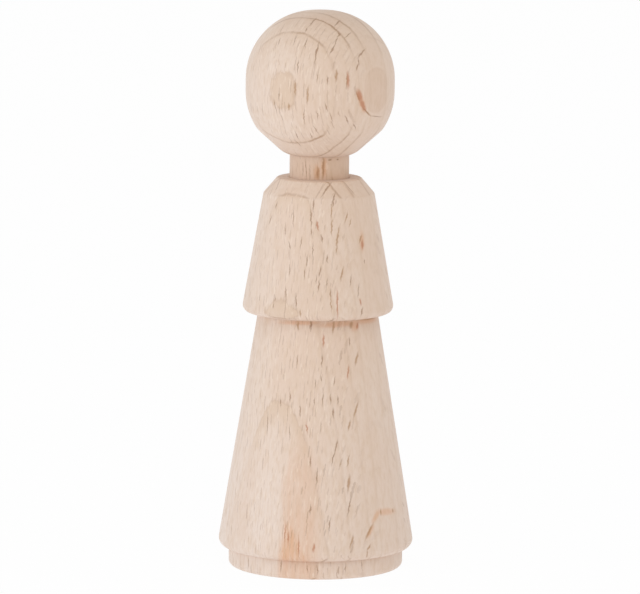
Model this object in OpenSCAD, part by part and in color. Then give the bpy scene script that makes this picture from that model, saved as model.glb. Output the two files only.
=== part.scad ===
// Peg doll: a ball head, a short jacket, a long skirt and a round foot, each turned
// from beech, threaded on one straight dowel and glued. The bare stretch of the dowel
// between head and jacket is the neck. Millimetres, +Z up, origin at the middle of
// the underside.

/* [Foot] */
// Diameter of the round foot under the skirt
foot_d = 35.3; // [28:0.1:40]
// Height of the foot
foot_h = 3.9; // [2.5:0.1:10]
// Radius of the foot's lower outer edge
foot_edge_r = 1; // [0.2:0.1:2]

/* [Skirt] */
// Diameter at the hem, measured to the sharp corner before it is rounded
skirt_hem_d = 40; // [36:0.5:52]
// Diameter where the skirt meets the jacket
skirt_top_d = 24.2; // [18:0.2:30]
// Height of the skirt
skirt_h = 48.1; // [30:0.1:80]
// Radius of the rounded hem
skirt_edge_r = 1.7; // [0.4:0.1:3]

/* [Jacket] */
// Diameter at the hem, measured to the sharp corner before it is rounded
jacket_hem_d = 31; // [27:0.5:40]
// Height of the jacket, from its hem to the flat top of the shoulders
jacket_h = 27.4; // [16:0.2:45]
// Radius of the rounded hem
jacket_edge_r = 1.4; // [0.4:0.1:2.5]
// Diameter at the outer corner of the shoulders
shoulder_d = 22.4; // [20:0.2:26]
// Diameter of the flat top that surrounds the neck
shoulder_top_d = 16.9; // [15:0.1:19]
// Height of the sloping shoulders
shoulder_h = 3.2; // [1.5:0.1:6]
// Radius of the two shoulder corners
shoulder_edge_r = 0.8; // [0.2:0.1:1.2]

/* [Head] */
// Diameter and height of the ball before its chin and seat are cut
head_d = 30; // [22:0.5:40]
// Height of the straight band round the ball, and width of the flat on its crown
head_band = 2.4; // [0.4:0.1:5]
// Slope of the cone that is turned under the ball as a chin, from the horizontal
chin_slope = 42; // [36:1:48]
// Depth of that cone below the round of the ball
chin_depth = 0.4; // [0.1:0.05:0.6]
// Diameter of the flat seat round the neck, under the ball
head_seat_d = 12.9; // [12.8:0.1:15]
// Depth of the blind bore above that seat
head_bore_depth = 14; // [8:0.5:18]

/* [Centre dowel] */
// Diameter of the dowel, which is also the neck
dowel_d = 12; // [6:0.1:12.4]
// Length of the dowel left bare between the shoulders and the head
neck_h = 4.7; // [2:0.1:12]
// Width and height of the chamfer on the upper end of the dowel
dowel_chamfer = 0.8; // [0.2:0.1:2]

/* [Glue joints] */
// Room for glue all round the dowel in its bores
glue_gap = 0.05; // [0.02:0.01:0.2]
// Room for glue between the end of the dowel and the end of the blind bore
glue_pocket = 0.5; // [0.2:0.1:2]
// Width and height of the chamfer on the bore mouths that close on each other
mouth_chamfer = 0.5; // [0.2:0.1:1.5]

/* [Hidden] */
$fn = 96;

// How far every cut runs past the face that it opens
overrun = 1;

pale_beech = [0.87, 0.78, 0.71];
shaded_beech = [0.80, 0.68, 0.58];

skirt_z = foot_h;
jacket_z = skirt_z + skirt_h;
neck_z = jacket_z + jacket_h;
seat_z = neck_z + neck_h;

bore_r = dowel_d / 2 + glue_gap;

// The ball's outline is a square of side head_d with corners of this radius
head_corner_r = (head_d - head_band) / 2;
// Distance of those corners' centres from the axis, and from the middle of the ball
head_corner_offset = head_band / 2;
// How far the seat lies under the middle of the ball
seat_drop = head_corner_offset
    + sqrt(pow(head_corner_r, 2) - pow(head_seat_d / 2 - head_corner_offset, 2));
dowel_top_z = seat_z + head_bore_depth - glue_pocket;

function unit(v) = v / norm(v);

// Half the angle at corner b of the outline a, b, c
function half_angle(a, b, c) = acos(unit(a - b) * unit(c - b)) / 2;

// Length that an arc of radius r takes from each side of that corner
function cutback(a, b, c, r) = r / tan(half_angle(a, b, c));

// Centre of the arc of radius r that rounds that corner
function arc_centre(a, b, c, r) =
    b + unit(unit(a - b) + unit(c - b)) * r / sin(half_angle(a, b, c));

// What is left of that corner once it is rounded: the two ends of its arc
function trimmed(a, b, c, r) =
    r == 0 ? [b] : [
        b + unit(a - b) * cutback(a, b, c, r),
        b + unit(c - b) * cutback(a, b, c, r)
    ];

// Convex outline of [radius, height] corners, each rounded by a true arc of its own
// radius. A radius of 0 keeps a corner sharp.
module rounded_outline(corners, radii) {
    count = len(corners);
    function before(i) = corners[(i + count - 1) % count];
    function after(i) = corners[(i + 1) % count];

    polygon([for (i = [0:count - 1]) each trimmed(before(i), corners[i], after(i), radii[i])]);
    for (i = [0:count - 1])
        if (radii[i] > 0)
            translate(arc_centre(before(i), corners[i], after(i), radii[i])) circle(r = radii[i]);
}

// Bore for the dowel through a piece of height h
module through_bore(h) {
    translate([0, 0, -overrun]) cylinder(r = bore_r, h = h + 2 * overrun);
}

// Chamfer that opens a bore upward to the face at height z
module mouth_up(z) {
    translate([0, 0, z - mouth_chamfer])
        cylinder(r1 = bore_r, r2 = bore_r + mouth_chamfer + overrun, h = mouth_chamfer + overrun);
}

// The same chamfer for a face at height 0 that looks down
module mouth_down() {
    mirror([0, 0, 1]) mouth_up(0);
}

module foot() {
    color(pale_beech) difference() {
        rotate_extrude() rounded_outline(
            [[0, 0], [foot_d / 2, 0], [foot_d / 2, foot_h], [0, foot_h]],
            [0, foot_edge_r, 0, 0]
        );
        through_bore(foot_h);
        mouth_up(foot_h);
    }
}

module skirt() {
    color(pale_beech) translate([0, 0, skirt_z]) difference() {
        rotate_extrude() rounded_outline(
            [[0, 0], [skirt_hem_d / 2, 0], [skirt_top_d / 2, skirt_h], [0, skirt_h]],
            [0, skirt_edge_r, 0, 0]
        );
        through_bore(skirt_h);
        mouth_down();
        mouth_up(skirt_h);
    }
}

module jacket() {
    color(pale_beech) translate([0, 0, jacket_z]) difference() {
        rotate_extrude() rounded_outline(
            [
                [0, 0],
                [jacket_hem_d / 2, 0],
                [shoulder_d / 2, jacket_h - shoulder_h],
                [shoulder_top_d / 2, jacket_h],
                [0, jacket_h]
            ],
            [0, jacket_edge_r, shoulder_edge_r, shoulder_edge_r, 0]
        );
        through_bore(jacket_h);
        mouth_down();
    }
}

module centre_dowel() {
    color(shaded_beech) rotate_extrude() polygon([
        [0, 0],
        [dowel_d / 2, 0],
        [dowel_d / 2, dowel_top_z - dowel_chamfer],
        [dowel_d / 2 - dowel_chamfer, dowel_top_z],
        [0, dowel_top_z]
    ]);
}

// Half outline of the ball, with the middle of the ball at height 0: a squarish round,
// cut by the seat below and by the straight line of the chin
module head_outline() {
    difference() {
        intersection() {
            rounded_outline(
                [[0, -head_d / 2], [head_d / 2, -head_d / 2], [head_d / 2, head_d / 2], [0, head_d / 2]],
                [0, head_corner_r, head_corner_r, 0]
            );
            translate([0, -seat_drop]) square([head_d / 2, seat_drop + head_d / 2]);
        }
        translate([head_corner_offset, -head_corner_offset]) rotate(chin_slope - 90)
            translate([head_corner_r - chin_depth, -head_corner_r])
                square([chin_depth + overrun, 2 * head_corner_r]);
    }
}

module head() {
    color(pale_beech) translate([0, 0, seat_z]) difference() {
        translate([0, 0, seat_drop]) rotate_extrude() head_outline();
        translate([0, 0, -overrun]) cylinder(r = bore_r, h = head_bore_depth + overrun);
    }
}

foot();
skirt();
jacket();
centre_dowel();
head();
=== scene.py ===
"""Peg doll of raw turned beech: foot, skirt, jacket and ball head, threaded on one dowel.

Every piece is turned here as a mesh from its own outline, round the axis of its CAD solid.
The wood is one solid pattern in the coordinates of the tree that it was cut from, so rings
and rays run on from piece to piece. Outlines and wood are in millimetres, meshes in metres.
"""

import math

import bpy
from mathutils import Matrix, Vector


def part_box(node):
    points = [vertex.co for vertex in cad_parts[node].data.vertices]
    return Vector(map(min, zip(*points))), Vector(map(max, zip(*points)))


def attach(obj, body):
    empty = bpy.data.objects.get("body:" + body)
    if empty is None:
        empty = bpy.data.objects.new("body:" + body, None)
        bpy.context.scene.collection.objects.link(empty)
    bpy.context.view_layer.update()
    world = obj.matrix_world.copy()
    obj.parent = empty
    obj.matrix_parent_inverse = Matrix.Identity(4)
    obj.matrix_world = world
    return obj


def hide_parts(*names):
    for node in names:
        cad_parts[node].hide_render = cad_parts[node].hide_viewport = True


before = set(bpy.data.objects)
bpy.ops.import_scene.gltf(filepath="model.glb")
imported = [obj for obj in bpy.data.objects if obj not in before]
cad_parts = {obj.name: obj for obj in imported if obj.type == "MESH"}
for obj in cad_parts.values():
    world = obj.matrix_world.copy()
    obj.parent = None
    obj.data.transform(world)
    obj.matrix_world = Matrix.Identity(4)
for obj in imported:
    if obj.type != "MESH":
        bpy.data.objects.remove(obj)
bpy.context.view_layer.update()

MM = 0.001

# Heights of the joints between the pieces, from the frame
FOOT_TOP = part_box("foot")[1].z / MM
SKIRT_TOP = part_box("skirt")[1].z / MM
JACKET_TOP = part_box("jacket")[1].z / MM
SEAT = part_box("head")[0].z / MM
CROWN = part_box("head")[1].z / MM
DOWEL_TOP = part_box("centre_dowel")[1].z / MM

# Radii of the pieces, and of the roundings that the turner gave their corners
FOOT_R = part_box("foot")[1].x / MM
DOWEL_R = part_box("centre_dowel")[1].x / MM
HEAD_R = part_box("head")[1].x / MM
SKIRT_HEM_R = 20.0
SKIRT_WAIST_R = 12.1
JACKET_HEM_R = 15.5
SHOULDER_R = 11.2
SHOULDER_TOP_R = 8.45
SHOULDER_H = 3.2
FOOT_EDGE = 1.0
SKIRT_EDGE = 1.7
JACKET_EDGE = 1.4
SHOULDER_EDGE = 0.8
BROKEN_ARRIS = 0.15

# The ball: a squarish round with a straight band, and a cone under it as a chin
HEAD_BAND = 2.4
CHIN_SLOPE = math.radians(42)
CHIN_DEPTH = 0.4
CHIN_EASING = 1.0
HEAD_SEAT_R = 6.45
BORE_DEPTH = 14.0

# Glue joints
BORE_R = DOWEL_R + 0.05
BORE_MOUTH = 0.5
DOWEL_CHAMFER = 0.8

# How finely straight stretches, roundings, the ball and every turn round the axis are divided
STEP = 0.4
ARC_STEP = 0.12
BALL_STEP = 0.25
SEGMENTS = 320
# A point nearer to the axis than this lies on it
ON_AXIS = 1e-6

# The camera that took the photograph, found from the doll's outline
FRAME_WIDTH_PX = 640
FOCAL_PX = 5438.7
CAMERA_DISTANCE = 1.1
CAMERA_ELEVATION = math.radians(8.085)
CAMERA_TILT = math.radians(-0.084)
CAMERA_TURN = math.radians(0.021)
CAMERA_ROLL = math.radians(0.590)
SENSOR_WIDTH = 36
CLIP_START = 0.05
CLIP_END = 20

# The white paper under the doll. Most of its brightness is its own glow: this share of the
# light that it throws up, in a colour of its own, and this share of what is seen of it
FLOOR_REACH = 3.0
PAPER = (0.92, 0.92, 0.92)
PAPER_GLOW = 0.9
PAPER_LIGHT = (1.04, 1.04, 1.08)
PAPER_GLOW_SEEN = 0.97
# The world behind it is seen white, and lights the doll with this strength
WORLD_LIGHT = 0.656
# Soft square lamps: place and size in metres, power in watts, and colour
WINDOW_LAMP = {"spot": (-1.25, -0.65, 0.25), "size": 0.9, "power": 5.0, "colour": (0.87, 1.01, 1.21)}
FRONT_LAMP = {"spot": (0.1, -1.0, 1.1), "size": 0.8, "power": 3.7, "colour": (1, 1, 1)}

# Where the doll sat in the tree: the pith lies in front of it, a little to the left
PITH_DISTANCE = 76.0
PITH_AZIMUTH = math.radians(-29.3)
# Where each year ends: its depth from the doll's axis towards the pith, and how boldly it shows
YEAR_ENDS = (
    (-23.0, 0.8),
    (-19.4, 1.0),
    (-16.0, 0.7),
    (-12.4, 1.0),
    (-8.8, 0.8),
    (-5.2, 0.9),
    (-1.7, 1.4),
    (3.45, 1.2),
    (6.35, 1.0),
    (10.55, 1.0),
    (14.75, 0.9),
)

# How a place is stretched before a noise is read there: across the grain, into the tree, up
WAVER_STRETCH = (1, 1, 0.05)
WAVE_STRETCH = (1, 1, 0.12)
JAG_STRETCH = (1, 1, 0.5)
COLOUR_STRETCH = (0.10, 0.16, 0.04)
PORE_STRETCH = (3.2, 3.2, 0.55)
MOTTLE_STRETCH = (1.3, 1.3, 0.4)

# How far a noise shifts things from end to end: the grain, the rings in slow waves and in fine
# jags, the loose dashes, and the marks
GRAIN_SHIFT = 1.2
WAVE_SHIFT = 0.7
JAG_SHIFT = 0.3
DASH_SHIFT = 0.35
MARK_SHIFT = 0.6

# At the front left the years bulge on both sides, which flattens the tops of the arches there
BULGE = 0.08
BULGE_REACH = 4.0
# The line that ends a year. Where the surface runs nearly along the ring, between these values
# of Facing, only a thinner line stays as thin to the eye
LINE_THINS = (0.75, 0.97)
LINE_WIDTHS = (0.36, 0.13)
# It has faint stretches, and grows bolder to the right in the tree, between these places
LINE_GAPS = (0.3, 0.6)
LINE_IN_GAPS = (0.4, 1.0)
LINE_GROWS_BOLD = (0.0, 9.0)
LINE_BOLDNESS = (0.7, 1.3)
# The darker wood before that line
LATE_WIDTH = 1.1

# The loose patterns of rays, which show as dashes. Spacing, Run and Pitch are the sizes of one
# ray's cell across the grain, into the tree and up, Share is how many cells hold a ray
BROAD_DASHES = {"Spacing": 1.5, "Run": 9.0, "Pitch": 4.2, "Width": 0.22, "Share": 0.8, "Seed": 0.0}
SMALL_DASHES = {"Spacing": 0.9, "Run": 6.0, "Pitch": 2.9, "Width": 0.14, "Share": 0.75, "Seed": 7.3}
PALE_DASHES = {"Spacing": 1.0, "Run": 5.0, "Pitch": 2.6, "Width": 0.24, "Share": 0.8, "Seed": 13.1}
# Each dash has its own half height, as a share of Pitch, its own share of Width and its own
# strength, within these
DASH_HALF_HEIGHTS = (0.16, 0.46)
DASH_WIDTHS = (0.6, 1.4)
DASH_STRENGTHS = (0.35, 1.0)
# How far the cells stray from an even grid, how soon a ray ends in one, and its soft edge
DASH_DISORDER = 0.9
DASH_END = 1.9
DASH_EDGE = (0.06, -0.04)

# Marks that can be told apart on the doll, by the piece that shows them. Each is a short stroke:
# (its middle's turn to the right of the front in degrees, height, length, lean to the right in
# degrees, width). Bold and fine rays are dark, the others are rays and spots full of gum. The
# long level strokes on the skirt right under the jacket's hem are no rays: the brown one is a
# brown line along the crease there, and the three tinted bands are painted shade
BOLD_RAYS = {
    "head": (
        (24, 111.2, 2.6, 44, 0.32),
        (20, 109.2, 0.8, 0, 0.46),
        (15, 108, 2, 23, 0.28),
        (10.5, 106.5, 2.4, 30, 0.34),
        (-3.5, 105.8, 5, 9, 0.34),
        (37, 105.5, 2.8, 54, 0.34),
        (32.5, 104, 1.4, 0, 0.3),
        (-18, 103, 2.5, -3, 0.26),
        (30.5, 103, 1.7, 30, 0.34),
        (-33, 97, 2, 0, 0.26),
        (38.5, 94, 2.5, -49, 0.26),
        (22, 92.5, 2, -28, 0.3),
        (30.5, 91, 1.5, -34, 0.3),
    ),
    "centre_dowel": (
        (20.6, 83.5, 0.6, 80, 0.36),
        (37, 83.5, 0.5, 90, 0.34),
    ),
    "jacket": (
        (8.5, 78, 4, 33, 0.34),
        (15.6, 76.4, 2.9, 23, 0.34),
        (-5.5, 75, 2.5, 0, 0.32),
        (-7.5, 72.5, 3.4, -4, 0.34),
        (3, 68.5, 1.5, -12, 0.36),
        (7.8, 64.5, 1.5, 0, 0.3),
        (-10, 64, 2.2, 3, 0.26),
        (1.5, 62, 2, 10, 0.34),
        (0.5, 59.2, 2.3, 5, 0.3),
        (-26.4, 57.5, 2.4, -6, 0.3),
        (-17.2, 56, 2.8, -4, 0.34),
        (35.5, 53.8, 1.7, 17, 0.36),
    ),
    "skirt": (
        (-6.5, 51, 1.8, 5, 0.4),
        (30, 47.5, 1.6, 7, 0.3),
        (4, 44, 2.4, 4, 0.32),
        (-21.5, 36.5, 2, -3, 0.28),
        (4.6, 36.3, 2.5, 2, 0.3),
        (16.5, 36, 1.7, -3, 0.32),
        (-13, 34, 2.2, -3, 0.3),
        (12.5, 33.5, 1.8, 1, 0.3),
        (14, 27, 2.4, 14, 0.36),
        (11.5, 24.5, 2.5, 15, 0.3),
        (-4, 24, 2, 5, 0.26),
        (0.5, 21, 3.3, 5, 0.32),
        (21.6, 15, 3.5, 16, 0.32),
        (-3.5, 14.5, 2, 5, 0.32),
    ),
}
FINE_RAYS = {
    "head": (
        (-12, 111.4, 3.4, 17, 0.36),
        (-17, 110, 1.4, 6, 0.26),
        (19, 109, 1.5, 48, 0.28),
        (29.5, 109, 2.6, 54, 0.26),
        (-25.5, 108, 2.5, 2, 0.28),
        (-42.5, 107.5, 1.7, -10, 0.26),
        (-14, 107.5, 2.5, 3, 0.3),
        (-2.5, 101, 2.2, -2, 0.2),
        (5.5, 100.5, 1.8, 0, 0.26),
        (-37, 95, 2.8, -8, 0.26),
        (5, 95, 1.8, -20, 0.26),
        (-2, 93.5, 1.9, -9, 0.24),
        (-12.5, 93, 4.4, 4, 0.2),
        (9, 93, 2, -20, 0.26),
        (52, 92.7, 4.4, -82, 0.22),
        (-32, 92.5, 2, -8, 0.2),
        (-3.5, 90.5, 2, -26, 0.26),
        (-21.5, 89, 2.6, -6, 0.26),
        (-7.5, 89, 1.9, -12, 0.26),
        (-24, 87.3, 2.4, -22, 0.24),
    ),
    "centre_dowel": (
        (-26.5, 81.5, 3.9, -3, 0.28),
    ),
    "jacket": (
        (39, 78, 3.5, -20, 0.2),
        (14.5, 75.5, 1.8, 11, 0.28),
        (-48, 74.5, 1.7, 12, 0.28),
        (-25.4, 72.5, 4.6, -3, 0.2),
        (-53.7, 71.4, 2, 16, 0.3),
        (-32.7, 69.8, 2.5, -9, 0.2),
        (-6.6, 69.8, 1.6, -2, 0.28),
        (-16, 67.5, 2.6, 4, 0.28),
        (-27, 67, 1.9, -16, 0.26),
        (-4.9, 66.2, 3, 1, 0.28),
        (43.2, 63.6, 0.9, 4, 0.26),
        (-24.7, 62.2, 2.6, -5, 0.22),
        (-11.4, 61.5, 2.4, -1, 0.3),
        (-1.7, 60.5, 1.9, 4, 0.26),
        (27.5, 60, 2.3, 11, 0.28),
        (7.2, 59.9, 1.8, 6, 0.26),
        (34, 58, 3, 12, 0.28),
        (10, 57.8, 1.6, -3, 0.28),
        (-35.6, 56.2, 1.6, -5, 0.24),
        (-36.5, 54.7, 1, -2, 0.24),
    ),
    "skirt": (
        (-17.5, 44, 1.8, -2, 0.28),
        (3.8, 40.3, 1.2, -7, 0.26),
        (14.3, 39.9, 1.8, 10, 0.24),
        (-1.6, 39.4, 1.9, -4, 0.24),
        (10.6, 36.5, 1.8, 0, 0.28),
        (-2, 35.8, 1.8, 4, 0.24),
        (-29.5, 35.4, 2, -8, 0.3),
        (-39.4, 31, 4.8, -5, 0.32),
        (-20, 29.5, 3, -4, 0.28),
        (8.5, 11.5, 3, 7, 0.36),
    ),
    "foot": (
        (-23, 2.6, 2.6, 4, 0.3),
        (32, 2.6, 2.6, -6, 0.2),
        (20, 2.4, 2, 0, 0.24),
        (-5, 2.3, 1.8, 0, 0.26),
        (1.3, 2.2, 2.4, 0, 0.22),
        (-50, 2.1, 2.5, 2, 0.26),
    ),
}
BROWN_RAYS = {
    "head": (
        (12.5, 101.5, 2.3, 4, 0.46),
        (20.6, 100.5, 2.8, 0, 0.2),
        (-19.3, 99, 3, 0, 0.32),
        (-9.4, 97.5, 3.4, 3, 0.26),
        (30.4, 97, 2.3, -22, 0.3),
        (-24.5, 95, 1.4, 4, 0.34),
        (40.4, 93.7, 2.5, -53, 0.3),
    ),
    "centre_dowel": (
        (7.3, 82, 4.4, 0, 0.44),
        (-3, 80.9, 2.2, -2, 0.5),
    ),
    "jacket": (
        (12.4, 73.7, 2.8, 6, 0.18),
        (27.6, 72.5, 2.2, 20, 0.24),
        (31.5, 71.4, 1.5, 20, 0.2),
        (12.3, 70.7, 3.1, 3, 0.28),
        (17.4, 68.5, 3.7, 10, 0.3),
        (41.5, 68.1, 1.7, 28, 0.34),
        (16.2, 66.4, 1.7, 17, 0.2),
        (20, 61.5, 2.7, 16, 0.34),
        (10, 56, 3.9, -3, 0.18),
        (-13.3, 53.7, 1.4, -5, 0.26),
    ),
    "skirt": (
        # A level brown line along the crease right under the jacket's hem
        (57, 51.6, 5, -88, 0.5),
        (33, 50.8, 1.4, 18, 0.7),
        (-18.6, 50.7, 1.8, -5, 0.36),
        (14.6, 50.5, 2.4, 7, 0.4),
        (35.8, 44, 2.6, 22, 0.44),
        (31.4, 34, 3.2, 24, 0.4),
        (24.7, 31, 2, 19, 0.4),
        (22.5, 24, 2.3, 14, 0.3),
        (22, 19.5, 3.4, 10, 0.5),
        (45, 13.2, 1.3, 5, 0.3),
        (56.9, 13, 0.8, 0, 0.4),
        (34.4, 9.7, 3.5, 36, 0.42),
        (22, 8, 2.7, 18, 0.34),
        (33.2, 6.6, 1.4, 38, 0.34),
        (31.8, 5.3, 1.5, 0, 0.34),
    ),
}
RUSTY_RAYS = {
    "head": (
        (21.7, 100.5, 3.2, 0, 0.5),
        (31.8, 97.2, 2.7, -20, 0.9),
        (35, 95.3, 2.8, -28, 0.8),
    ),
    "jacket": (
        (-1, 71, 2, -12, 0.28),
        (43, 66.9, 1.9, 10, 0.6),
        (35, 55.7, 1.3, -6, 0.4),
        (15, 55.5, 5.5, 1, 0.3),
    ),
    "skirt": (
        (40, 50.5, 1.3, 20, 0.5),
        (5.2, 47.9, 2.5, 0, 0.36),
        (26.7, 41.5, 2.6, 10, 0.28),
        (-7.3, 30.6, 2.2, -8, 0.22),
        (-18.6, 9.6, 4.4, -2, 0.2),
        (-16.6, 8.7, 2.8, 0, 0.22),
        (-10, 7.2, 3.8, -3, 0.24),
        (-1, 7, 1.7, 6, 0.34),
    ),
}
TINTED_SPOTS_AND_HEM_SHADE = {
    "head": (
        (33.5, 96, 4.4, -24, 1.6),
    ),
    "centre_dowel": (
        (9, 82, 4, 0, 1.6),
        (-4.5, 81, 3, 0, 1.4),
    ),
    "jacket": (
        (43, 67.6, 3.6, 6, 1.4),
    ),
    "skirt": (
        # Painted shade: these three long level bands right under the jacket's hem darken the skirt there
        (-18, 51.3, 8, 88, 1.1),
        (55, 51.3, 8, -88, 1.6),
        (20, 51.1, 8, 88, 1.4),
        (37, 50.6, 2.2, 10, 2.4),
        (50, 13.1, 5.6, -85, 1.6),
        (40.8, 12.6, 3.4, 44, 1.3),
        (35.4, 9.8, 2.8, 36, 1.1),
    ),
}
# Depth of a mark below the surface, as a share of its length
MARK_DEPTH = 0.6
# A mark tapers so finely that its tips are lost: it is this much longer than what shows of it
MARK_TIPS = 1.2
# How far a mark's colour has bled to its sides, times its width
DARK_BLEED = 1.1
GUM_BLEED = 1.4
TINT_AND_HEM_SHADE_BLEED = 1.0
# A mark fades in between these distances, where 0 is its middle and 1 its edge. Fine rays count
# as further away, so they are fainter
MARK_FADE = (1.3, 0.3)
FINE_FURTHER = 0.12
# Half the height over which an outline's slope is read, to lay a mark on it
SLOPE_REACH = 0.3
# The loose broad dashes step back for the marks, to this share. They return between these
# distances to either side, and between these depths towards the back
LEFT_BESIDE_MARKS = 0.5
MARKED_WIDTH = (12.0, 16.0)
MARKED_DEPTH = (3.0, -3.0)

# Where the ball's right side cuts a ray flat, so that its face shows as a darker oval
RAY_FACE_ACROSS = 14.66
RAY_FACE_HEIGHT = 98.0
RAY_FACE_REACH = 10.0
RAY_FACE_EDGE = 0.06
RAY_FACE_FADE = 2.0

# The red-brown stain at the front left, by its sides, which lean together above a height. An
# edge runs from where the stain begins to where it is full, inwards from its side
STAIN_LEFT = -6.7
STAIN_RIGHT = 0.8
STAIN_LEFT_EDGE = (-0.8, 1.0)
STAIN_RIGHT_EDGE = (-1.5, 2.5)
STAIN_LEANS_FROM = 20.0
STAIN_LEAN = 0.22
# Downwards it sets in between these heights, up to this share, and deepens between the next
STAIN_SETS_IN = (34.0, 20.0)
STAIN_SHARE = 0.34
STAIN_DEEPENS = (17.0, 11.0)
STAIN_DEEPER_BY = 0.17
# Upright streaks shift it to either side and leave it fainter in between
STREAK_STRETCH = (1.6, 1, 0.12)
STREAK_SHIFT = 1.2
STREAK_NOISE = (0.35, 0.65)
STREAK_SHARES = (0.65, 1.0)
# The bold wedge at its bottom starts at a tip of its own. Downwards it widens on the right, and
# near the foot on the left too, and it is fainter on the foot than on the skirt
WEDGE_TIP_X = -5.3
WEDGE_TIP_HEIGHT = 13.4
WEDGE_SPREAD = 0.46
WEDGE_LEFT_EDGE = (-0.7, 0.9)
WEDGE_RIGHT_EDGE = (-0.9, 1.3)
WEDGE_TIP_EDGE = (-1.0, 3.0)
WEDGE_WIDENS_FROM = 9.0
WEDGE_LEFT_SPREAD = 0.12
WEDGE_SHARES = (0.45, 0.9)
WEDGE_SHARE_STEP = 0.1

# Colours of the wood, linear
PALE = (0.772, 0.617, 0.500)
PINK = (0.742, 0.570, 0.446)
LATEWOOD = (0.680, 0.500, 0.356)
RING_LINE = (0.38, 0.21, 0.11)
RAY_EDGE = (0.27, 0.125, 0.05)
PALE_FLECK = (0.86, 0.72, 0.59)
GUM_BROWN = (0.40, 0.21, 0.09)
GUM_RUST = (0.46, 0.17, 0.075)
# Colours that multiply it
# The stain's colour, which also tints the painted shade under the jacket's hem
STAIN_AND_HEM_SHADE = (0.935, 0.69, 0.505)
RAY_FACE = (0.95, 0.92, 0.89)
END_GRAIN = (0.93, 0.89, 0.86)
# Painted light from the white paper below, which makes the lower pieces paler and bluer
PAINTED_FLOOR_LIGHT = (1.02, 1.05, 1.09)
# The dowel's darker, warmer tone is painted shade under the ball
NECK_SHADE_TONES = {"turned_beech": (1.0, 1.0, 1.0), "dowel_beech": (0.935, 0.88, 0.825)}
# It turns from pale to pink between these values of a slow noise, which leans to pink with the
# way to the right in the tree. Between these heights it grows paler and bluer towards the foot:
# painted light from the paper below
PINK_NOISE = (0.35, 0.65)
PINK_LEAN_PLACES = (-8.0, 8.0)
PINK_LEAN = (-0.12, 0.12)
PAINTED_FLOOR_LIGHT_HEIGHTS = (46.0, 8.0)

# How much of its colour each thing lends the wood at most. Pores and mottle set in between
# these values of a noise
PORE_NOISE = (0.35, 0.75)
PORE_SHARE = 0.3
MOTTLE_NOISE = (0.4, 0.75)
MOTTLE_SHARE = 0.55
PALE_DASH_SHARE = 0.4
SMALL_DASH_SHARE = 0.42
BROAD_DASH_SHARE = 0.6
DARK_MARK_SHARE = 0.63
GUM_SHARE = 0.7
# The tinted spots' share, which is also that of the painted shade under the jacket's hem
TINT_AND_HEM_SHADE_SHARE = 0.6
# Dashes show where the surface looks to or from the pith, and small ones come in clusters
DASH_FACING = (0.15, 0.7)
DASH_BY_FACING = (0.12, 1.0)
CLUSTER_NOISE = (0.35, 0.6)
CLUSTER_SHARES = (0.35, 1.0)
# Late wood and the lines of the years show least on an upright surface and most on the end of
# the grain, between these values of End
LATE_ENDS = (0.3, 0.95)
LATE_SHARES = (0.25, 0.5)
LINE_ENDS = (0.35, 0.95)
LINE_SHARES = (0.09, 0.95)
# The lines fade where the surface cuts the rings at right angles
LINE_FACING = (0.1, 0.55)
LINE_BY_FACING = (0.45, 1.0)
# A surface that runs nearly along the rings, between these values of Facing, shows them broad,
# and at least by these shares
ALONG_FACING = (0.8, 0.95)
LATE_SHARE_ALONG = 0.7
LINE_SHARE_ALONG = 0.25
# The end of the grain is darker, between these values of End
END_GRAIN_ENDS = (0.7, 1.0)

# Bare sanded wood: little gloss, and loose fibres that look pale where the surface turns away
SKIN_GLOSS = 0.4
SKIN_SHEEN = 0.18
SKIN_SHEEN_ROUGHNESS = 0.5
SKIN_ROUGHNESS = 0.62
DASH_ROUGHNESS = 0.5
PORE_RELIEF = 0.4
DASH_RELIEF = 0.6
RELIEF_STRENGTH = 0.5
RELIEF_DEPTH = 0.02

# Further than any distance in the wood
FAR = 99.0


def arc(centre, radius, start, end, step=ARC_STEP):
    """Points of an arc from angle start to angle end, in radians."""
    count = max(2, math.ceil(abs(end - start) * radius / step))
    turns = [start + (end - start) * i / count for i in range(count + 1)]
    return [Vector((centre[0] + radius * math.cos(t), centre[1] + radius * math.sin(t))) for t in turns]


def rounded(before, corner, after, radius):
    """The arc that rounds a corner between its two neighbours."""
    to_before = (before - corner).normalized()
    to_after = (after - corner).normalized()
    half = to_before.angle(to_after) / 2
    cut = radius / math.tan(half)
    centre = corner + (to_before + to_after).normalized() * radius / math.sin(half)
    first = corner + to_before * cut - centre
    last = corner + to_after * cut - centre
    start = math.atan2(first.y, first.x)
    sweep = (math.atan2(last.y, last.x) - start + math.pi) % (2 * math.pi) - math.pi
    return arc(centre, radius, start, start + sweep)


def divided(points):
    """The same outline with its long straight stretches cut into short steps."""
    result = [points[0]]
    for a, b in zip(points, points[1:]):
        count = max(1, math.ceil((b - a).length / STEP))
        result += [a.lerp(b, i / count) for i in range(1, count + 1)]
    return result


def closed_outline(corners):
    """Outline through (radius, height, rounding) corners, back to its first point."""
    spots = [Vector(corner[:2]) for corner in corners]
    points = []
    for i, spot in enumerate(spots):
        radius = corners[i][2]
        if radius:
            points += rounded(spots[i - 1], spot, spots[(i + 1) % len(spots)], radius)
        else:
            points.append(spot)
    return divided(points + points[:1])[:-1]


def eased(points, reach):
    """The outline with its slight corners sanded away over the given reach."""
    even = divided(points)
    result = []
    for p in even:
        near = [(q, max(0.0, 1 - ((q - p).length / reach) ** 2)) for q in even if (q - p).length < reach]
        total = sum(weight for q, weight in near)
        result.append(sum((q * weight for q, weight in near), Vector((0, 0))) / total)
    result[0], result[-1] = even[0], even[-1]
    return result


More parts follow.
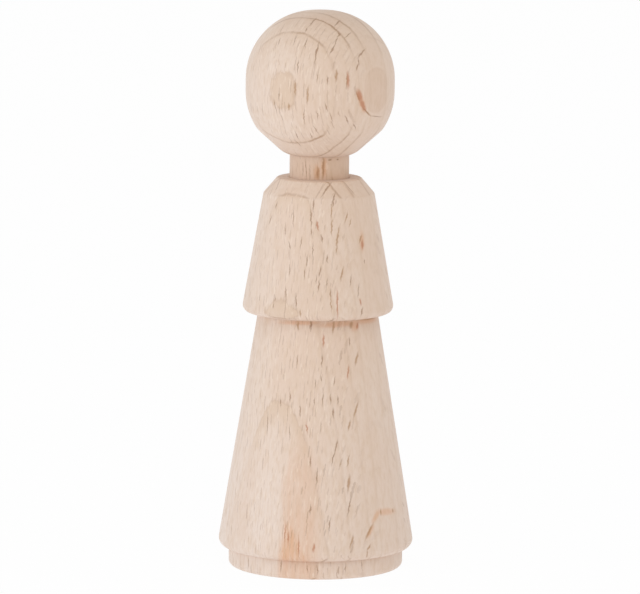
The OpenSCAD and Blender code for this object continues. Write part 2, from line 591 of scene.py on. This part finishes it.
def turned(name, outline, loop):
    """Mesh object swept round the doll's axis from an outline; a loop closes on its first point."""
    rings, vertices, faces = [], [], []
    for radius, height in outline:
        first = len(vertices)
        if radius < ON_AXIS:
            vertices.append((0, 0, height * MM))
            rings.append([first] * SEGMENTS)
            continue
        for j in range(SEGMENTS):
            turn = 2 * math.pi * j / SEGMENTS
            vertices.append((radius * math.cos(turn) * MM, radius * math.sin(turn) * MM, height * MM))
        rings.append(list(range(first, first + SEGMENTS)))
    pairs = list(zip(rings, rings[1:])) + ([(rings[-1], rings[0])] if loop else [])
    for low, high in pairs:
        for j in range(SEGMENTS):
            k = (j + 1) % SEGMENTS
            # Two corners are one where a ring lies on the axis
            face = list(dict.fromkeys([low[j], low[k], high[k], high[j]]))
            if len(face) > 2:
                faces.append(face)
    mesh = bpy.data.meshes.new(name)
    mesh.from_pydata(vertices, [], faces)
    mesh.polygons.foreach_set("use_smooth", [True] * len(mesh.polygons))
    mesh.validate()
    piece = bpy.data.objects.new(name, mesh)
    bpy.context.scene.collection.objects.link(piece)
    return piece


def foot_outline():
    return closed_outline(
        [
            (BORE_R, 0, 0),
            (FOOT_R, 0, FOOT_EDGE),
            (FOOT_R, FOOT_TOP, BROKEN_ARRIS),
            (BORE_R + BORE_MOUTH, FOOT_TOP, 0),
            (BORE_R, FOOT_TOP - BORE_MOUTH, 0),
        ]
    )


def skirt_outline():
    return closed_outline(
        [
            (BORE_R, FOOT_TOP + BORE_MOUTH, 0),
            (BORE_R + BORE_MOUTH, FOOT_TOP, 0),
            (SKIRT_HEM_R, FOOT_TOP, SKIRT_EDGE),
            (SKIRT_WAIST_R, SKIRT_TOP, 0),
            (BORE_R + BORE_MOUTH, SKIRT_TOP, 0),
            (BORE_R, SKIRT_TOP - BORE_MOUTH, 0),
        ]
    )


def jacket_outline():
    return closed_outline(
        [
            (BORE_R, SKIRT_TOP + BORE_MOUTH, 0),
            (BORE_R + BORE_MOUTH, SKIRT_TOP, 0),
            (JACKET_HEM_R, SKIRT_TOP, JACKET_EDGE),
            (SHOULDER_R, JACKET_TOP - SHOULDER_H, SHOULDER_EDGE),
            (SHOULDER_TOP_R, JACKET_TOP, SHOULDER_EDGE),
            (BORE_R, JACKET_TOP, 0),
        ]
    )


def dowel_outline():
    return divided(
        [
            Vector((0, 0)),
            Vector((DOWEL_R, 0)),
            Vector((DOWEL_R, DOWEL_TOP - DOWEL_CHAMFER)),
            Vector((DOWEL_R - DOWEL_CHAMFER, DOWEL_TOP)),
            Vector((0, DOWEL_TOP)),
        ]
    )


def head_outline():
    offset = HEAD_BAND / 2
    middle = CROWN - HEAD_R
    corner_r = HEAD_R - offset
    low, high = (offset, middle - offset), (offset, middle + offset)
    chin = CHIN_SLOPE - math.pi / 2
    chin_half = math.acos(1 - CHIN_DEPTH / corner_r)
    seat_turn = -math.acos((HEAD_SEAT_R - offset) / corner_r)
    ball = arc(low, corner_r, seat_turn, chin - chin_half, BALL_STEP)
    ball += arc(low, corner_r, chin + chin_half, 0, BALL_STEP)
    ball += arc(high, corner_r, 0, math.pi / 2, BALL_STEP)
    ball.append(Vector((0, CROWN)))
    bore_end = SEAT + BORE_DEPTH
    bore = [Vector((0, bore_end)), Vector((BORE_R, bore_end)), Vector((BORE_R, SEAT))]
    return divided(bore + [ball[0]])[:-1] + eased(ball, CHIN_EASING)


class Graph:
    """Places the nodes of one tree. An input takes a number, a colour or another node's output."""

    def __init__(self, tree):
        self.tree = tree

    def put(self, socket, value):
        if isinstance(value, bpy.types.NodeSocket):
            self.tree.links.new(value, socket)
        elif value is not None:
            if socket.type == "RGBA" and len(value) == 3:
                value = (*value, 1)
            socket.default_value = value

    def node(self, kind, inputs=None, **settings):
        made = self.tree.nodes.new(kind)
        for name, value in settings.items():
            setattr(made, name, value)
        for name, value in (inputs or {}).items():
            self.put(made.inputs[name], value)
        return made

    def group(self, tree, inputs):
        """Places a node group and returns its outputs."""
        return self.node("ShaderNodeGroup", inputs, node_tree=tree).outputs

    def math(self, how, a, b=None, c=None):
        return self.node("ShaderNodeMath", {0: a, 1: b, 2: c}, operation=how).outputs[0]

    def times(self, first, *factors):
        for factor in factors:
            first = self.math("MULTIPLY", first, factor)
        return first

    def plus(self, a, b):
        return self.math("ADD", a, b)

    def minus(self, a, b):
        return self.math("SUBTRACT", a, b)

    def over(self, a, b):
        return self.math("DIVIDE", a, b)

    def squared(self, a):
        return self.math("POWER", a, 2.0)

    def size(self, a):
        return self.math("ABSOLUTE", a)

    def least(self, a, b):
        return self.math("MINIMUM", a, b)

    def most(self, a, b):
        return self.math("MAXIMUM", a, b)

    def parts(self, vector):
        return self.node("ShaderNodeSeparateXYZ", {0: vector}).outputs

    def vector(self, x=0.0, y=0.0, z=0.0):
        return self.node("ShaderNodeCombineXYZ", {0: x, 1: y, 2: z}).outputs[0]

    def in_millimetres(self, place):
        made = self.node("ShaderNodeVectorMath", {0: place, "Scale": 1 / MM}, operation="SCALE")
        return made.outputs[0]

    def ramp(self, value, span, to=(0.0, 1.0), smooth=True):
        """Turns one span of values into another, and stays at its ends beyond them."""
        inputs = {"Value": value, "From Min": span[0], "From Max": span[1]}
        inputs |= {"To Min": to[0], "To Max": to[1]}
        kind = "SMOOTHSTEP" if smooth else "LINEAR"
        return self.node("ShaderNodeMapRange", inputs, interpolation_type=kind).outputs[0]

    def stretched(self, x, y, z, by):
        """The vector of these parts, each times its own factor."""
        return self.vector(*(part if k == 1 else self.times(part, k) for part, k in zip((x, y, z), by)))

    def noise(self, place, scale=1.0, detail=2.0, roughness=0.5):
        inputs = {"Vector": place, "Scale": scale, "Detail": detail, "Roughness": roughness}
        return self.node("ShaderNodeTexNoise", inputs).outputs["Fac"]

    def shift(self, noise, reach):
        """Turns noise round a half into a shift to either side, reach from end to end."""
        return self.times(self.minus(noise, 0.5), reach)

    def mix(self, share, a, b, how="MIX"):
        made = self.node("ShaderNodeMix", data_type="RGBA", blend_type=how)
        self.put(made.inputs["Factor"], share)
        self.put(made.inputs[6], a)
        self.put(made.inputs[7], b)
        return made.outputs[2]

    def tinted(self, share, colour, by):
        """A colour multiplied by another one, as far as the share goes."""
        return self.mix(share, colour, self.mix(1.0, colour, by, how="MULTIPLY"))


def new_group(name, inputs, outputs):
    """Empty node group, the graph that fills it, and its sockets on both sides.

    Inputs are {name: default}, where None makes a vector. Outputs are names of values, and only
    Colour is a colour."""
    tree = bpy.data.node_groups.new(name, "ShaderNodeTree")
    for label, default in inputs.items():
        kind = "NodeSocketVector" if default is None else "NodeSocketFloat"
        socket = tree.interface.new_socket(label, in_out="INPUT", socket_type=kind)
        if default is not None:
            socket.default_value = default
    for label in outputs:
        kind = "NodeSocketColor" if label == "Colour" else "NodeSocketFloat"
        tree.interface.new_socket(label, in_out="OUTPUT", socket_type=kind)
    entry = tree.nodes.new("NodeGroupInput")
    leave = tree.nodes.new("NodeGroupOutput")
    return tree, Graph(tree), entry.outputs, leave.inputs


def tree_place_group():
    """Where a point of the doll lay in the tree, in millimetres.

    Across runs round the pith, Grain is Across along the wavering grain, Depth runs from the
    doll's axis towards the pith, Height up. Facing is how squarely the surface looks to or from
    the pith, End how much of the grain's end it shows."""
    outputs = ("Across", "Grain", "Depth", "Height", "Facing", "End")
    tree, graph, entry, leave = new_group("Place in the tree", {"Place": None, "Normal": None}, outputs)
    x, y, z = graph.parts(graph.in_millimetres(entry["Place"]))
    from_x = graph.minus(x, PITH_DISTANCE * math.sin(PITH_AZIMUTH))
    from_y = graph.minus(y, -PITH_DISTANCE * math.cos(PITH_AZIMUTH))
    # Forward points from the pith to the doll's axis, sideways to the right of that
    ahead_x, ahead_y = -math.sin(PITH_AZIMUTH), math.cos(PITH_AZIMUTH)
    forward = graph.plus(graph.times(from_x, ahead_x), graph.times(from_y, ahead_y))
    sideways = graph.minus(graph.times(from_x, ahead_y), graph.times(from_y, ahead_x))
    reach = graph.math("SQRT", graph.plus(graph.squared(forward), graph.squared(sideways)))
    across = graph.times(graph.math("ARCTAN2", sideways, forward), PITH_DISTANCE)
    waver = graph.noise(graph.stretched(0.0, 0.0, z, WAVER_STRETCH), detail=1.0)
    graph.put(leave["Across"], across)
    graph.put(leave["Grain"], graph.plus(across, graph.shift(waver, GRAIN_SHIFT)))
    graph.put(leave["Depth"], graph.minus(PITH_DISTANCE, reach))
    graph.put(leave["Height"], z)
    side_x, side_y, side_z = graph.parts(entry["Normal"])
    squarely = graph.plus(graph.times(side_x, from_x), graph.times(side_y, from_y))
    graph.put(leave["Facing"], graph.size(graph.over(squarely, reach)))
    graph.put(leave["End"], graph.size(side_z))
    return tree


def year_ring_group():
    """Year rings: Line is the thin dark line where a year ends, Late the darker wood before it."""
    inputs = {"Across": 0.0, "Depth": 0.0, "Height": 0.0, "Facing": 0.0}
    tree, graph, entry, leave = new_group("Year rings", inputs, ("Line", "Late"))
    across, depth, height = entry["Across"], entry["Depth"], entry["Height"]
    waves = graph.noise(graph.stretched(across, depth, height, WAVE_STRETCH), scale=0.35, detail=3.0)
    jags = graph.noise(graph.stretched(across, depth, height, JAG_STRETCH), scale=1.5, detail=1.0)
    at = graph.plus(depth, graph.shift(waves, WAVE_SHIFT))
    at = graph.plus(at, graph.shift(jags, JAG_SHIFT))
    at = graph.plus(at, graph.ramp(graph.size(across), (0.0, BULGE_REACH), (0.0, BULGE)))
    nearest, since = FAR, FAR
    for ring, boldness in YEAR_ENDS:
        past = graph.minus(at, ring)
        nearest = graph.least(nearest, graph.over(graph.size(past), boldness))
        since = graph.least(since, graph.math("WRAP", past, FAR, 0.0))
    width = graph.ramp(entry["Facing"], LINE_THINS, LINE_WIDTHS)
    line = graph.ramp(graph.over(nearest, width), (1.0, 0.0))
    gaps = graph.noise(graph.vector(across, 0.0, height), scale=0.3)
    line = graph.times(line, graph.ramp(gaps, LINE_GAPS, LINE_IN_GAPS))
    line = graph.times(line, graph.ramp(across, LINE_GROWS_BOLD, LINE_BOLDNESS))
    graph.put(leave["Line"], line)
    graph.put(leave["Late"], graph.ramp(graph.over(since, LATE_WIDTH), (1.0, 0.0)))
    return tree


def dash_group():
    """Loose rays: thin upright blades that run in from the bark, as dashes where their edge shows."""
    inputs = {"Across": 0.0, "Depth": 0.0, "Height": 0.0, **BROAD_DASHES}
    tree, graph, entry, leave = new_group("Dashes of rays", inputs, ("Dash",))
    place = graph.vector(entry["Across"], entry["Depth"], entry["Height"])
    ragged = graph.shift(graph.noise(place, scale=1.6, detail=1.0), DASH_SHIFT)
    across = graph.over(graph.plus(entry["Across"], ragged), entry["Spacing"])
    depth = graph.plus(graph.over(entry["Depth"], entry["Run"]), entry["Seed"])
    up = graph.over(entry["Height"], entry["Pitch"])
    cell = graph.node(
        "ShaderNodeTexVoronoi",
        {"Vector": graph.vector(across, depth, up), "Scale": 1.0, "Randomness": DASH_DISORDER},
        voronoi_dimensions="3D",
        feature="F1",
    )
    middle = graph.parts(cell.outputs["Position"])
    chances = graph.node("ShaderNodeSeparateColor", {0: cell.outputs["Color"]}).outputs
    long_chance, wide_chance, there_chance = chances
    off_across = graph.times(graph.minus(across, middle[0]), entry["Spacing"])
    off_depth = graph.times(graph.minus(depth, middle[1]), DASH_END)
    off_up = graph.minus(up, middle[2])
    half_height = graph.ramp(long_chance, (0.0, 1.0), DASH_HALF_HEIGHTS, smooth=False)
    off_middle = graph.plus(graph.squared(graph.over(off_up, half_height)), graph.squared(off_depth))
    inside = graph.minus(1.0, off_middle)
    widest = graph.times(entry["Width"], graph.ramp(wide_chance, (0.0, 1.0), DASH_WIDTHS, smooth=False))
    width = graph.times(widest, graph.math("SQRT", graph.most(inside, 0.0)))
    edge = graph.minus(graph.size(off_across), graph.times(width, 0.5))
    blade = graph.times(graph.ramp(edge, DASH_EDGE), graph.math("GREATER_THAN", inside, 0.0))
    there = graph.math("LESS_THAN", there_chance, entry["Share"])
    strength = graph.ramp(wide_chance, (0.0, 1.0), DASH_STRENGTHS, smooth=False)
    graph.put(leave["Dash"], graph.times(blade, there, strength))
    return tree


def surface_at(height, outline):
    """The radius that an outline reaches at a height, and how it tilts back there from upright."""

    def radius(level):
        found = 0.0
        for a, b in zip(outline, outline[1:]):
            if min(a.y, b.y) <= level <= max(a.y, b.y) and a.y != b.y:
                found = max(found, a.x + (b.x - a.x) * (level - a.y) / (b.y - a.y))
        return found

    lowest = min(p.y for p in outline) + SLOPE_REACH
    highest = max(p.y for p in outline) - SLOPE_REACH
    height = min(max(height, lowest), highest)
    narrows_by = radius(height - SLOPE_REACH) - radius(height + SLOPE_REACH)
    return radius(height), math.atan2(narrows_by, 2 * SLOPE_REACH)


def nearest_mark(graph, spot, marks, outline, bleed):
    """How far a place lies from the nearest of some marks: 0 at its middle, 1 at its edge."""
    nearest = FAR
    for turn_degrees, height, length, lean_degrees, width in marks:
        turn, lean = math.radians(turn_degrees), math.radians(lean_degrees)
        radius, tilt = surface_at(height, outline)
        stand = Matrix.Rotation(turn, 3, "Z") @ Matrix.Rotation(-tilt, 3, "X")
        stand = stand @ Matrix.Rotation(lean, 3, "Y")
        own = graph.node(
            "ShaderNodeMapping",
            {
                "Vector": spot,
                "Location": (radius * math.sin(turn), -radius * math.cos(turn), height),
                "Rotation": stand.to_euler("XYZ"),
                "Scale": (width * bleed / 2, length * MARK_DEPTH, length * MARK_TIPS / 2),
            },
            vector_type="TEXTURE",
        ).outputs[0]
        away = graph.node("ShaderNodeVectorMath", {0: own}, operation="LENGTH").outputs["Value"]
        nearest = graph.least(nearest, away)
    return nearest


def mark_group(node, outline):
    """The marks that can be told apart on one piece, as masks. On the skirt the tint mask also holds
    painted shade under the jacket's hem.
    """
    tree, graph, entry, leave = new_group(
        "Marks on " + node, {"Place": None}, ("Dark", "Brown", "Rusty", "Tint")
    )
    spot = graph.in_millimetres(entry["Place"])
    x, y, z = graph.parts(spot)
    ragged = graph.shift(graph.noise(spot, scale=1.4), MARK_SHIFT)
    spot = graph.vector(graph.plus(x, ragged), y, z)
    bold = nearest_mark(graph, spot, BOLD_RAYS.get(node, ()), outline, DARK_BLEED)
    fine = nearest_mark(graph, spot, FINE_RAYS.get(node, ()), outline, DARK_BLEED)
    brown = nearest_mark(graph, spot, BROWN_RAYS.get(node, ()), outline, GUM_BLEED)
    rusty = nearest_mark(graph, spot, RUSTY_RAYS.get(node, ()), outline, GUM_BLEED)
    # Tinted spots, and on the skirt painted shade under the jacket's hem
    tinted = nearest_mark(graph, spot, TINTED_SPOTS_AND_HEM_SHADE.get(node, ()), outline, TINT_AND_HEM_SHADE_BLEED)
    dark = graph.least(bold, graph.plus(fine, FINE_FURTHER))
    for label, distance in (("Dark", dark), ("Brown", brown), ("Rusty", rusty), ("Tint", tinted)):
        graph.put(leave[label], graph.ramp(distance, MARK_FADE))
    return tree


def ray_face_group():
    """The ray that the ball's right side cuts flat, as a mask."""
    tree, graph, entry, leave = new_group("Ray face", {"Across": 0.0, "Height": 0.0}, ("Face",))
    edge = (RAY_FACE_ACROSS - RAY_FACE_EDGE, RAY_FACE_ACROSS + RAY_FACE_EDGE)
    beyond = graph.ramp(entry["Across"], edge)
    level = graph.size(graph.minus(entry["Height"], RAY_FACE_HEIGHT))
    near = graph.ramp(level, (RAY_FACE_REACH, RAY_FACE_REACH - RAY_FACE_FADE))
    graph.put(leave["Face"], graph.times(beyond, near))
    return tree


def stain_group():
    """The red-brown stain that rises from the foot on the front left, as a mask."""
    tree, graph, entry, leave = new_group("Stain", {"Place": None}, ("Stain",))
    x, y, z = graph.parts(graph.in_millimetres(entry["Place"]))
    streaks = graph.noise(graph.stretched(x, 0.0, z, STREAK_STRETCH), detail=3.0)
    x = graph.plus(x, graph.shift(streaks, STREAK_SHIFT))
    lean = graph.times(graph.most(graph.minus(z, STAIN_LEANS_FROM), 0.0), STAIN_LEAN)
    from_left = graph.minus(graph.minus(x, STAIN_LEFT), lean)
    from_right = graph.minus(graph.minus(STAIN_RIGHT, lean), x)
    in_left = graph.ramp(from_left, STAIN_LEFT_EDGE)
    in_right = graph.ramp(from_right, STAIN_RIGHT_EDGE)
    deeper = graph.ramp(z, STAIN_DEEPENS, (0.0, STAIN_DEEPER_BY))
    share = graph.plus(graph.ramp(z, STAIN_SETS_IN, (0.0, STAIN_SHARE)), deeper)
    pale = graph.times(in_left, in_right, share)
    under_tip = graph.minus(WEDGE_TIP_HEIGHT, z)
    wedge_right = graph.plus(WEDGE_TIP_X, graph.times(under_tip, WEDGE_SPREAD))
    spread = graph.times(graph.most(graph.minus(WEDGE_WIDENS_FROM, z), 0.0), WEDGE_LEFT_SPREAD)
    joint = (FOOT_TOP - WEDGE_SHARE_STEP, FOOT_TOP + WEDGE_SHARE_STEP)
    bold = graph.times(
        graph.ramp(graph.plus(from_left, spread), WEDGE_LEFT_EDGE),
        graph.ramp(graph.minus(wedge_right, x), WEDGE_RIGHT_EDGE),
        graph.ramp(under_tip, WEDGE_TIP_EDGE),
        graph.ramp(z, joint, WEDGE_SHARES),
    )
    streaky = graph.ramp(streaks, STREAK_NOISE, STREAK_SHARES)
    in_front = graph.math("LESS_THAN", y, 0.0)
    graph.put(leave["Stain"], graph.times(graph.most(pale, bold), streaky, in_front))
    return tree


def wood_ground(graph, entry, pores, mottle):
    """The colour of the wood under its rays: slow changes, painted light from the paper that pales it
    towards the foot, late wood, pores, mottle and rings.
    """
    at = graph.stretched(entry["Across"], entry["Depth"], entry["Height"], COLOUR_STRETCH)
    lean = graph.ramp(entry["Across"], PINK_LEAN_PLACES, PINK_LEAN, smooth=False)
    slow = graph.plus(graph.noise(at, detail=3.0, roughness=0.55), lean)
    wood = graph.mix(graph.ramp(slow, PINK_NOISE), PALE, PINK)
    # Painted light from the paper below: paler and bluer towards the foot
    wood = graph.tinted(graph.ramp(entry["Height"], PAINTED_FLOOR_LIGHT_HEIGHTS), wood, PAINTED_FLOOR_LIGHT)
    along = graph.ramp(entry["Facing"], ALONG_FACING)
    late_share = graph.ramp(entry["End"], LATE_ENDS, LATE_SHARES)
    late_share = graph.most(late_share, graph.times(along, LATE_SHARE_ALONG))
    wood = graph.mix(graph.times(entry["Late"], late_share), wood, LATEWOOD)
    wood = graph.mix(graph.times(pores, PORE_SHARE), wood, LATEWOOD)
    wood = graph.mix(graph.times(mottle, MOTTLE_SHARE), wood, LATEWOOD)
    line_share = graph.ramp(entry["End"], LINE_ENDS, LINE_SHARES)
    line_share = graph.times(line_share, graph.ramp(entry["Facing"], LINE_FACING, LINE_BY_FACING))
    line_share = graph.most(line_share, graph.times(along, LINE_SHARE_ALONG))
    return graph.mix(graph.times(entry["Line"], line_share), wood, RING_LINE)


def raw_beech_group():
    """The colour of raw beech at a place in the tree, once the other groups' masks are laid on it; among
    them is painted shade under the jacket's hem.

    Pores, Broad and Small come out as masks, as far as they show there."""
    places = ("Across", "Grain", "Depth", "Height", "Facing", "End")
    masks = ("Line", "Late", "Broad", "Small", "Pale", "Dark", "Brown", "Rusty", "Tint", "Face", "Stain")
    outputs = ("Colour", "Pores", "Broad", "Small")
    tree, graph, entry, leave = new_group("Raw beech", dict.fromkeys(places + masks, 0.0), outputs)
    pore_at = graph.stretched(entry["Grain"], entry["Depth"], entry["Height"], PORE_STRETCH)
    pores = graph.ramp(graph.noise(pore_at, roughness=0.6), PORE_NOISE)
    mottle_at = graph.stretched(entry["Grain"], entry["Depth"], entry["Height"], MOTTLE_STRETCH)
    mottle = graph.ramp(graph.noise(mottle_at, roughness=0.6), MOTTLE_NOISE)
    wood = wood_ground(graph, entry, pores, mottle)
    # Painted shade: the tint mask darkens the skirt under the jacket's hem with the stain's colour
    stain_and_hem_shade = graph.most(entry["Stain"], graph.times(entry["Tint"], TINT_AND_HEM_SHADE_SHARE))
    wood = graph.tinted(stain_and_hem_shade, wood, STAIN_AND_HEM_SHADE)

    squarely = graph.ramp(entry["Facing"], DASH_FACING, DASH_BY_FACING)
    beside = graph.ramp(graph.size(entry["Across"]), MARKED_WIDTH, (LEFT_BESIDE_MARKS, 1.0))
    unmarked = graph.most(beside, graph.ramp(entry["Depth"], MARKED_DEPTH))
    broad = graph.times(entry["Broad"], squarely, unmarked)
    small = graph.times(entry["Small"], squarely)
    cluster_noise = graph.noise(mottle_at, scale=0.4, detail=1.0)
    clusters = graph.ramp(cluster_noise, CLUSTER_NOISE, CLUSTER_SHARES)
    wood = graph.mix(graph.times(entry["Pale"], squarely, PALE_DASH_SHARE), wood, PALE_FLECK)
    wood = graph.mix(graph.times(small, clusters, SMALL_DASH_SHARE), wood, RING_LINE)
    wood = graph.mix(graph.times(broad, BROAD_DASH_SHARE), wood, RAY_EDGE)
    wood = graph.mix(graph.times(entry["Dark"], DARK_MARK_SHARE), wood, RAY_EDGE)
    wood = graph.mix(graph.times(entry["Brown"], GUM_SHARE), wood, GUM_BROWN)
    wood = graph.mix(graph.times(entry["Rusty"], GUM_SHARE), wood, GUM_RUST)

    wood = graph.tinted(entry["Face"], wood, RAY_FACE)
    wood = graph.tinted(graph.ramp(entry["End"], END_GRAIN_ENDS), wood, END_GRAIN)
    for label, value in (("Colour", wood), ("Pores", pores), ("Broad", broad), ("Small", small)):
        graph.put(leave[label], value)
    return tree


def beech(name, groups, marks_here, shade_tone):
    """Raw beech, sanded and left bare, with its own marks. Its last argument multiplies its colours:
    painted shade that darkens the neck dowel under the ball.
    """
    material = bpy.data.materials.new(name)
    material.use_nodes = True
    material.node_tree.nodes.clear()
    graph = Graph(material.node_tree)
    where = graph.node("ShaderNodeTexCoord").outputs
    spot = graph.group(groups["place"], {"Place": where["Object"], "Normal": where["Normal"]})
    in_grain = {"Across": spot["Grain"], "Depth": spot["Depth"], "Height": spot["Height"]}
    rings = graph.group(groups["rings"], {**in_grain, "Facing": spot["Facing"]})
    marks = graph.group(marks_here, {"Place": where["Object"]})
    face = graph.group(groups["face"], {"Across": spot["Across"], "Height": spot["Height"]})
    stain = graph.group(groups["stain"], {"Place": where["Object"]})
    found = {label: value for made in (spot, rings, marks, face, stain) for label, value in made.items()}
    for label, dashes in (("Broad", BROAD_DASHES), ("Small", SMALL_DASHES), ("Pale", PALE_DASHES)):
        found[label] = graph.group(groups["dashes"], {**in_grain, **dashes})["Dash"]
    wood = graph.group(groups["raw_beech"], found)

    # Painted shade: on the neck dowel this darkens the wood under the ball
    colour = graph.mix(1.0, wood["Colour"], shade_tone, how="MULTIPLY")
    sunk_pores = graph.times(wood["Pores"], PORE_RELIEF)
    sunk = graph.plus(sunk_pores, graph.times(wood["Broad"], DASH_RELIEF))
    relief = {"Strength": RELIEF_STRENGTH, "Distance": RELIEF_DEPTH * MM}
    bump = graph.node("ShaderNodeBump", {**relief, "Height": graph.minus(1.0, sunk)})
    rays = graph.most(wood["Broad"], wood["Small"])
    rough = graph.ramp(rays, (0.0, 1.0), (SKIN_ROUGHNESS, DASH_ROUGHNESS))
    skin = graph.node(
        "ShaderNodeBsdfPrincipled",
        {
            "Base Color": colour,
            "Roughness": rough,
            "Normal": bump.outputs[0],
            "Specular IOR Level": SKIN_GLOSS,
            "Sheen Weight": SKIN_SHEEN,
            "Sheen Roughness": SKIN_SHEEN_ROUGHNESS,
        },
    )
    graph.node("ShaderNodeOutputMaterial", {"Surface": skin.outputs[0]})
    return material


def build_pieces():
    groups = {
        "place": tree_place_group(),
        "rings": year_ring_group(),
        "dashes": dash_group(),
        "face": ray_face_group(),
        "stain": stain_group(),
        "raw_beech": raw_beech_group(),
    }
    plan = (
        ("turned_foot", "foot", "turned_beech", foot_outline(), True),
        ("turned_skirt", "skirt", "turned_beech", skirt_outline(), True),
        ("turned_jacket", "jacket", "turned_beech", jacket_outline(), True),
        ("neck_dowel", "centre_dowel", "dowel_beech", dowel_outline(), False),
        ("ball_head", "head", "turned_beech", head_outline(), False),
    )
    # Each piece has a beech of its own, because one shader can't hold the marks of them all
    for name, node, finish, outline, loop in plan:
        piece = turned(name, outline, loop)
        wood = beech("beech_of_" + name, groups, mark_group(node, outline), NECK_SHADE_TONES[finish])
        piece.data.materials.append(wood)
        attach(piece, "root")
        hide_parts(node)


def build_camera():
    pitch = CAMERA_TILT - CAMERA_ELEVATION
    data = bpy.data.cameras.new("camera")
    data.sensor_width = SENSOR_WIDTH
    data.lens = FOCAL_PX / FRAME_WIDTH_PX * SENSOR_WIDTH
    data.clip_start = CLIP_START
    data.clip_end = CLIP_END
    camera = bpy.data.objects.new("camera", data)
    level = math.cos(pitch)
    ahead = Vector((math.sin(CAMERA_TURN) * level, math.cos(CAMERA_TURN) * level, math.sin(pitch)))
    right = ahead.cross(Vector((0, 0, 1))).normalized()
    up = right.cross(ahead)
    rolled_right = right * math.cos(CAMERA_ROLL) + up * math.sin(CAMERA_ROLL)
    rolled_up = up * math.cos(CAMERA_ROLL) - right * math.sin(CAMERA_ROLL)
    turn = Matrix((rolled_right, rolled_up, -ahead)).transposed().to_4x4()
    away = math.cos(CAMERA_ELEVATION) * CAMERA_DISTANCE
    above = math.sin(CAMERA_ELEVATION) * CAMERA_DISTANCE
    spot = Vector((0, -away, CROWN * MM / 2 + above))
    camera.matrix_world = Matrix.Translation(spot) @ turn
    bpy.context.scene.collection.objects.link(camera)
    bpy.context.scene.camera = camera


def soft_lamp(name, spot, size, power, colour):
    """Square lamp that looks at the middle of the doll."""
    data = bpy.data.lights.new(name, "AREA")
    data.shape = "SQUARE"
    data.size = size
    data.energy = power
    data.color = colour
    lamp = bpy.data.objects.new(name, data)
    target = Vector((0, 0, CROWN * MM / 2))
    lamp.rotation_mode = "QUATERNION"
    lamp.rotation_quaternion = (target - Vector(spot)).to_track_quat("-Z", "Y")
    lamp.location = spot
    bpy.context.scene.collection.objects.link(lamp)


def seen_straight(graph):
    """1 where a surface is seen as it is, or in gloss or glass, and 0 where it throws light."""
    ray = graph.node("ShaderNodeLightPath").outputs
    straight = graph.most(ray["Is Camera Ray"], ray["Is Glossy Ray"])
    return graph.most(straight, ray["Is Transmission Ray"])


def paper_white():
    """White paper. The eye sees it nearly shadowless, while it lights the doll as paper does."""
    material = bpy.data.materials.new("white_paper")
    material.use_nodes = True
    material.node_tree.nodes.clear()
    graph = Graph(material.node_tree)
    straight = seen_straight(graph)
    paper = graph.node("ShaderNodeBsdfDiffuse", {"Color": PAPER}).outputs[0]
    colour = graph.mix(straight, PAPER_LIGHT, (1, 1, 1))
    glow = graph.node("ShaderNodeEmission", {"Color": colour}).outputs[0]
    share = graph.ramp(straight, (0.0, 1.0), (PAPER_GLOW, PAPER_GLOW_SEEN), smooth=False)
    mixed = graph.node("ShaderNodeMixShader", {0: share, 1: paper, 2: glow})
    graph.node("ShaderNodeOutputMaterial", {"Surface": mixed.outputs[0]})
    return material


def build_floor():
    mesh = bpy.data.meshes.new("floor")
    corners = [
        (-FLOOR_REACH, -FLOOR_REACH, 0),
        (FLOOR_REACH, -FLOOR_REACH, 0),
        (FLOOR_REACH, FLOOR_REACH, 0),
        (-FLOOR_REACH, FLOOR_REACH, 0),
    ]
    mesh.from_pydata(corners, [], [(0, 1, 2, 3)])
    mesh.materials.append(paper_white())
    floor = bpy.data.objects.new("floor", mesh)
    bpy.context.scene.collection.objects.link(floor)


def build_world():
    world = bpy.data.worlds.new("studio")
    world.use_nodes = True
    world.node_tree.nodes.clear()
    graph = Graph(world.node_tree)
    strength = graph.ramp(seen_straight(graph), (0.0, 1.0), (WORLD_LIGHT, 1.0), smooth=False)
    back = graph.node("ShaderNodeBackground", {"Color": (1, 1, 1), "Strength": strength})
    graph.node("ShaderNodeOutputWorld", {"Surface": back.outputs[0]})
    bpy.context.scene.world = world


build_camera()
build_pieces()
build_floor()
build_world()
soft_lamp("window_lamp", **WINDOW_LAMP)
soft_lamp("front_lamp", **FRONT_LAMP)
bpy.context.scene.view_settings.view_transform = "Standard"
